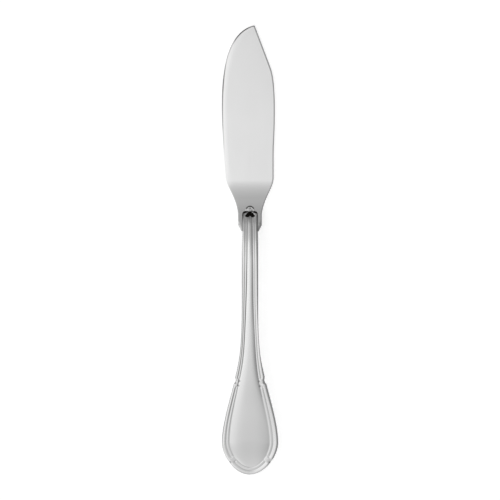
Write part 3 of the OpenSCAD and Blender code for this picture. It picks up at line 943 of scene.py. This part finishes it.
# %% Silver plate
hairline_w, hairline_l = 0.22 * MM, 18 * MM
cloud_size = 26 * MM
bump_height = 0.0016 * MM
# The colour of sulphide in the grooves, which also serves for painted shade.
sulphide_and_shade, sulphide_and_shade_rough = "#1b1917", 0.5
cloud_low, cloud_high, patch_low = 0.25, 0.75, 0.75
worn_low, worn_high = 0.12, 0.42


def silver_plate(name, bright, dimmer, rough_low, rough_high):
    material, tree = new_material(name)
    place = add_node(tree, "ShaderNodeTexCoord").outputs["Object"]
    stretch = (1 / hairline_w, 1 / hairline_l, 1 / hairline_w)
    strokes_at = add_node(tree, "ShaderNodeMapping", values={"Scale": stretch}, links={"Vector": place})
    strokes = add_node(
        tree, "ShaderNodeTexNoise", values={"Scale": 1, "Detail": 4, "Roughness": 0.6},
        links={"Vector": strokes_at.outputs["Vector"]},
    )
    clouds = add_node(
        tree, "ShaderNodeTexNoise", values={"Scale": 1 / cloud_size, "Detail": 5, "Roughness": 0.55},
        links={"Vector": place},
    )
    tone = add_node(
        tree, "ShaderNodeMix", {"data_type": "RGBA"}, {"A": linear(bright), "B": linear(dimmer)},
        {"Factor": clouds.outputs["Fac"]},
    )
    tarnish = add_node(tree, "ShaderNodeAttribute", {"attribute_name": "tarnish"})
    patchy = add_node(
        tree, "ShaderNodeMapRange",
        values={"From Min": cloud_low, "From Max": cloud_high, "To Min": patch_low, "To Max": 1},
        links={"Value": clouds.outputs["Fac"]},
    )
    dark = add_node(
        tree, "ShaderNodeMath", {"operation": "MULTIPLY"},
        links={0: tarnish.outputs["Fac"], 1: patchy.outputs["Result"]},
    )
    colour = add_node(
        tree, "ShaderNodeMix", {"data_type": "RGBA"}, {"B": linear(sulphide_and_shade)},
        {"Factor": dark.outputs["Value"], "A": tone.outputs["Result"]},
    )
    worn = add_node(
        tree, "ShaderNodeMath", {"operation": "MULTIPLY"},
        links={0: strokes.outputs["Fac"], 1: clouds.outputs["Fac"]},
    )
    rough = add_node(
        tree, "ShaderNodeMapRange",
        values={"From Min": worn_low, "From Max": worn_high, "To Min": rough_low, "To Max": rough_high},
        links={"Value": worn.outputs["Value"]},
    )
    rough_dark = add_node(
        tree, "ShaderNodeMix", {"data_type": "FLOAT"}, {"B": sulphide_and_shade_rough},
        {"Factor": dark.outputs["Value"], "A": rough.outputs["Result"]},
    )
    bump = add_node(
        tree, "ShaderNodeBump", values={"Strength": 0.5, "Distance": bump_height},
        links={"Height": strokes.outputs["Fac"]},
    )
    metal = add_node(
        tree, "ShaderNodeBsdfPrincipled", values={"Metallic": 1},
        links={
            "Base Color": colour.outputs["Result"],
            "Roughness": rough_dark.outputs["Result"],
            "Normal": bump.outputs["Normal"],
        },
    )
    add_node(tree, "ShaderNodeOutputMaterial", links={"Surface": metal.outputs["BSDF"]})
    print(name, "has", len(tree.nodes), "nodes")
    return material


blade_silver = silver_plate("silver_plate_blade", "#f5f5f5", "#f3f3f3", rough_low=0.13, rough_high=0.2)
handle_silver = silver_plate("silver_plate_handle", "#eeeeee", "#eaeaea", rough_low=0.1, rough_high=0.17)
blade.data.materials.append(blade_silver)
for piece in (*shells.values(), rivet):
    piece.data.materials.append(handle_silver)

# %% [markdown]
# ## Solder and cement
# The seam and the lap are closed with soft silver solder. It was never polished, so it is a dull grey metal
# with a crystalline skin. The hollow is filled with handle cement, a grey-brown mix of resin and brick dust
# with coarse grit. Two separate materials could be drawn, but crystals and grit are both cells with dust
# between them, so one function makes both. They are sealed inside, and still get their own finish.

# %% Solder and cement
crystal_size, crystal_relief = 0.4 * MM, 0.02 * MM
grit_size, grit_relief = 0.9 * MM, 0.15 * MM
dust_share = 1 / 3


def grainy(name, light, dark, grain, relief, metallic, roughness):
    material, tree = new_material(name)
    place = add_node(tree, "ShaderNodeTexCoord").outputs["Object"]
    cells = add_node(tree, "ShaderNodeTexVoronoi", values={"Scale": 1 / grain}, links={"Vector": place})
    dust = add_node(
        tree, "ShaderNodeTexNoise", values={"Scale": 1 / (dust_share * grain), "Detail": 6},
        links={"Vector": place},
    )
    blend = add_node(
        tree, "ShaderNodeMath", {"operation": "MULTIPLY"},
        links={0: cells.outputs["Distance"], 1: dust.outputs["Fac"]},
    )
    colour = add_node(
        tree, "ShaderNodeMix", {"data_type": "RGBA"}, {"A": linear(light), "B": linear(dark)},
        {"Factor": blend.outputs["Value"]},
    )
    bump = add_node(
        tree, "ShaderNodeBump", values={"Strength": 0.6, "Distance": relief},
        links={"Height": blend.outputs["Value"]},
    )
    surface = add_node(
        tree, "ShaderNodeBsdfPrincipled", values={"Metallic": metallic, "Roughness": roughness},
        links={"Base Color": colour.outputs["Result"], "Normal": bump.outputs["Normal"]},
    )
    add_node(tree, "ShaderNodeOutputMaterial", links={"Surface": surface.outputs["BSDF"]})
    return material


solder = grainy(
    "silver_solder_cast", "#cfcdc8", "#8b8882", crystal_size, crystal_relief, metallic=1, roughness=0.42
)
cement = grainy(
    "handle_cement_gritty", "#7d7468", "#4b443c", grit_size, grit_relief, metallic=0, roughness=0.95
)
inner_finish = {"seam_solder": solder, "root_solder": solder, "handle_filler": cement}
for node_name, finish in inner_finish.items():
    node_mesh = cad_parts[node_name].data
    node_mesh.materials.clear()
    node_mesh.materials.append(finish)
print("finished:", list(inner_finish))

# %% [markdown]
# ## The table
# The knife lies on white paper. A sheet with a curl could be modelled, but the photo shows a plain ground,
# so one flat face with a faint fibre is enough. Paper lit only by the soft tent would come out light grey,
# so camera and mirror rays see it lifted to white, while its own diffuse part still takes the knife's
# shadow.

# %% Paper floor
floor_half = 3
paper_grain = 0.35 * MM
paper_lift = 0.53

floor_mesh = bpy.data.meshes.new("paper_floor")
corners = [(-1, -1), (1, -1), (1, 1), (-1, 1)]
floor_mesh.from_pydata([(x * floor_half, y * floor_half, 0) for x, y in corners], [], [(0, 1, 2, 3)])
floor = bpy.data.objects.new("paper_floor", floor_mesh)
bpy.context.scene.collection.objects.link(floor)

paper, tree = new_material("white_paper")
place = add_node(tree, "ShaderNodeTexCoord").outputs["Object"]
fibre = add_node(tree, "ShaderNodeTexNoise", values={"Scale": 1 / paper_grain}, links={"Vector": place})
tint = add_node(
    tree, "ShaderNodeMix", {"data_type": "RGBA"}, {"A": linear("#f4f4f4"), "B": linear("#efefef")},
    {"Factor": fibre.outputs["Fac"]},
)
matt = add_node(tree, "ShaderNodeBsdfDiffuse", links={"Color": tint.outputs["Result"]})
ray = add_node(tree, "ShaderNodeLightPath")
seen = ray.outputs["Is Camera Ray"]
for kind in ("Is Glossy Ray", "Is Transmission Ray"):
    seen = add_node(
        tree, "ShaderNodeMath", {"operation": "MAXIMUM"}, links={0: seen, 1: ray.outputs[kind]}
    ).outputs["Value"]
lift = add_node(tree, "ShaderNodeMath", {"operation": "MULTIPLY"}, {1: paper_lift}, {0: seen})
glow = add_node(tree, "ShaderNodeEmission", links={"Strength": lift.outputs["Value"]})
both = add_node(
    tree, "ShaderNodeAddShader", links={0: matt.outputs["BSDF"], 1: glow.outputs["Emission"]}
)
add_node(tree, "ShaderNodeOutputMaterial", links={"Surface": both.outputs["Shader"]})
floor_mesh.materials.append(paper)
print("paper is", 2 * floor_half, "m wide and lifted by", paper_lift)

# %% [markdown]
# ## The light
# Polished silver shows its surroundings, so the light is a soft tent: bright overhead and to the left,
# dimmer to the right, and darker behind the point of the blade. It could be three softboxes, but their hard
# edges would show as bands in the blade. Grey ramps over the direction give the same tent without edges.
# One runs across the knife and one along it. To the left two others take the place of the one along it,
# because slopes that face left mirror that part of the tent, such as the inner side of the right rim. The
# horizon is dimmer. No direction is darker than the room, and pale walls behind both ends keep the plate
# silver from other sides. The strength is set so that the plate comes out as light as in the photo.

# %% Greys of the tent
tent_strength = 1.15
across_stops = (
    (-1, "#f6f6f6"), (-0.7, "#fafafa"), (-0.5, "#fafafa"), (-0.4, "#f6f6f6"), (-0.3, "#f2f2f2"),
    (-0.2, "#efefef"), (-0.1, "#e8e8e8"), (0, "#e1e1e1"), (0.1, "#d7d7d7"), (0.2, "#cecece"),
    (0.3, "#c0c0c0"), (0.4, "#adadad"), (0.5, "#9e9e9e"), (0.66, "#8a8a8a"), (0.86, "#727272"),
    (1, "#626262"),
)
along_stops = (
    (-1, "#e4e4e4"), (-0.4, "#f2f2f2"), (-0.3, "#e2e2e2"), (-0.24, "#dddddd"), (-0.207, "#e2e2e2"),
    (-0.19, "#ebebeb"), (-0.175, "#eeeeee"), (-0.15, "#efefef"), (-0.1, "#f1f1f1"), (-0.05, "#fbfbfb"),
    (0, "#ffffff"), (0.035, "#ffffff"), (0.05, "#fdfdfd"), (0.08, "#efefef"), (0.13, "#e4e4e4"),
    (0.18, "#d9d9d9"), (0.24, "#d0d0d0"), (0.28, "#cacaca"), (0.32, "#c5c5c5"), (0.35, "#c3c3c3"),
    (0.37, "#c0c0c0"), (0.4, "#b0b0b0"), (0.44, "#a0a0a0"), (0.5, "#909090"), (0.6, "#7c7c7c"),
    (0.8, "#545454"), (1, "#383838"),
)
near_left_stops = (
    (-1, "#e4e4e4"), (-0.4, "#eeeeee"), (-0.3, "#dedede"), (-0.26, "#e3e3e3"), (-0.22, "#f0f0f0"),
    (-0.15, "#f3f3f3"), (-0.1, "#f2f2f2"), (-0.05, "#fbfbfb"), (0, "#ffffff"), (0.05, "#fefefe"),
    (0.08, "#fefefe"), (0.13, "#fefefe"), (0.165, "#fcfcfc"), (0.19, "#ececec"), (0.21, "#dadada"),
    (0.23, "#d2d2d2"), (0.26, "#cdcdcd"), (0.3, "#c8c8c8"), (0.37, "#c0c0c0"), (0.44, "#a0a0a0"),
    (0.6, "#7c7c7c"), (1, "#383838"),
)
far_left_stops = (
    (-1, "#bfbfbf"), (-0.3, "#d8d8d8"), (-0.15, "#bfbfbf"), (-0.06, "#a9a9a9"), (0, "#bfbfbf"),
    (0.1, "#d6d6d6"), (0.2, "#ebebeb"), (0.4, "#e5e5e5"), (0.6, "#9d9d9d"), (1, "#343434"),
)
near_left_share = ((-0.16, "#ffffff"), (-0.02, "#000000"))
far_left_share = ((-0.8, "#ffffff"), (-0.5, "#000000"))
wall_share = ((-0.75, "#ffffff"), (-0.6, "#000000"), (0.44, "#000000"), (0.58, "#ffffff"))
horizon_stops = ((0, "#8c8c8c"), (0.08, "#9a9a9a"), (0.2, "#ffffff"))
room_grey, wall_grey = "#848484", "#c2c2c2"
print("tent has", len(across_stops), "greys across and", len(along_stops), "along")

# %% Tent
world = bpy.data.worlds.new("soft_tent")
world.use_nodes = True
bpy.context.scene.world = world
tree = world.node_tree
tree.nodes.clear()
heading = add_node(tree, "ShaderNodeTexCoord").outputs["Generated"]
parts = add_node(tree, "ShaderNodeSeparateXYZ", links={"Vector": heading})
ramp_plan = {
    "across": ("X", across_stops),
    "along": ("Y", along_stops),
    "near_left": ("Y", near_left_stops),
    "near_left_share": ("X", near_left_share),
    "far_left": ("Y", far_left_stops),
    "far_left_share": ("X", far_left_share),
    "horizon": ("Z", horizon_stops),
    "wall_share": ("Y", wall_share),
}
ramps = {}
for ramp_name, (axis, stops) in ramp_plan.items():
    share = add_node(
        tree, "ShaderNodeMapRange", values={"From Min": -1, "From Max": 1},
        links={"Value": parts.outputs[axis]},
    )
    ramp = add_node(tree, "ShaderNodeValToRGB", links={"Fac": share.outputs["Result"]})
    ramp.color_ramp.interpolation = "CARDINAL"
    elements = ramp.color_ramp.elements
    for k, (at, grey) in enumerate(stops):
        stop = elements[k] if k < len(elements) else elements.new(1)
        stop.position = (at + 1) / 2
        stop.color = linear(grey)
    ramps[ramp_name] = ramp.outputs["Color"]

layers = (
    ("MIX", {}, {"Factor": ramps["near_left_share"], "B": ramps["near_left"]}),
    ("MIX", {}, {"Factor": ramps["far_left_share"], "B": ramps["far_left"]}),
    ("MULTIPLY", {"Factor": 1}, {"B": ramps["across"]}),
    ("MULTIPLY", {"Factor": 1}, {"B": ramps["horizon"]}),
    ("LIGHTEN", {"Factor": 1, "B": linear(room_grey)}, {}),
    ("MIX", {"B": linear(wall_grey)}, {"Factor": ramps["wall_share"]}),
)
tent = ramps["along"]
for blend_type, values, links in layers:
    settings = {"data_type": "RGBA", "blend_type": blend_type}
    tent = add_node(tree, "ShaderNodeMix", settings, values, {"A": tent, **links}).outputs["Result"]
sky = add_node(tree, "ShaderNodeBackground", values={"Strength": tent_strength}, links={"Color": tent})
add_node(tree, "ShaderNodeOutputWorld", links={"Surface": sky.outputs["Background"]})
bpy.context.scene.view_settings.view_transform = "Standard"
print("tent has", len(tree.nodes), "nodes in", len(layers), "layers")
